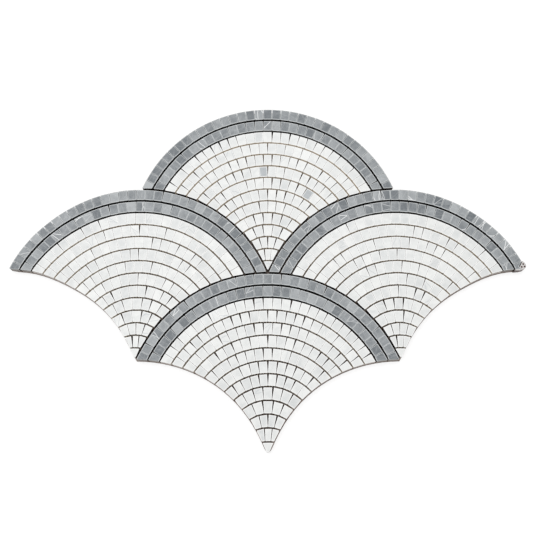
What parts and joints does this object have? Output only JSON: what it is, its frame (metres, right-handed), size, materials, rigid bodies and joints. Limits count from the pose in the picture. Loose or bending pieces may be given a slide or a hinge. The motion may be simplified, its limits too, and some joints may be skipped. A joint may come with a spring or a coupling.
{
  "type": "fish scale mosaic tile sheet",
  "caption": "Mesh-backed marble mosaic sheet of scallop fans, grey stones round white ones in curved rows, that interlocks with the next sheet to cover a wall or floor.",
  "frame": {"origin": "underside of the mesh backing, at the middle of the sheet, where the four fans meet", "axes": "+X along the sheet's length, through its two outer corners; +Y from the lowest tip to the highest crown; +Z out of the polished face"},
  "size_m": [0.46, 0.312, 0.0103],
  "materials": {
    "grey_marble": "polished",
    "white_marble": "polished",
    "mesh_backing": "matte"
  },
  "bodies": {
    "root": {"mesh_backing": "mesh_backing", "top_fan_grey_row_1": "grey_marble", "top_fan_grey_row_2": "grey_marble", "top_fan_white_row_1": "white_marble", "top_fan_white_row_2": "white_marble", "top_fan_white_row_3": "white_marble", "top_fan_white_row_4": "white_marble", "top_fan_white_row_5": "white_marble", "top_fan_white_row_6": "white_marble", "top_fan_white_row_7": "white_marble", "top_fan_white_row_8": "white_marble", "top_fan_white_row_9": "white_marble", "top_fan_white_row_10": "white_marble", "top_fan_white_row_11": "white_marble", "top_fan_tip_stone": "white_marble", "left_fan_grey_row_1": "grey_marble", "left_fan_grey_row_2": "grey_marble", "left_fan_white_row_1": "white_marble", "left_fan_white_row_2": "white_marble", "left_fan_white_row_3": "white_marble", "left_fan_white_row_4": "white_marble", "left_fan_white_row_5": "white_marble", "left_fan_white_row_6": "white_marble", "left_fan_white_row_7": "white_marble", "left_fan_white_row_8": "white_marble", "left_fan_white_row_9": "white_marble", "left_fan_white_row_10": "white_marble", "left_fan_white_row_11": "white_marble", "left_fan_tip_stone": "white_marble", "right_fan_grey_row_1": "grey_marble", "right_fan_grey_row_2": "grey_marble", "right_fan_white_row_1": "white_marble", "right_fan_white_row_2": "white_marble", "right_fan_white_row_3": "white_marble", "right_fan_white_row_4": "white_marble", "right_fan_white_row_5": "white_marble", "right_fan_white_row_6": "white_marble", "right_fan_white_row_7": "white_marble", "right_fan_white_row_8": "white_marble", "right_fan_white_row_9": "white_marble", "right_fan_white_row_10": "white_marble", "right_fan_white_row_11": "white_marble", "right_fan_tip_stone": "white_marble", "bottom_fan_grey_row_1": "grey_marble", "bottom_fan_grey_row_2": "grey_marble", "bottom_fan_white_row_1": "white_marble", "bottom_fan_white_row_2": "white_marble", "bottom_fan_white_row_3": "white_marble", "bottom_fan_white_row_4": "white_marble", "bottom_fan_white_row_5": "white_marble", "bottom_fan_white_row_6": "white_marble", "bottom_fan_white_row_7": "white_marble", "bottom_fan_white_row_8": "white_marble", "bottom_fan_white_row_9": "white_marble", "bottom_fan_white_row_10": "white_marble", "bottom_fan_white_row_11": "white_marble", "bottom_fan_tip_stone": "white_marble"}
  },
  "joints": []
}
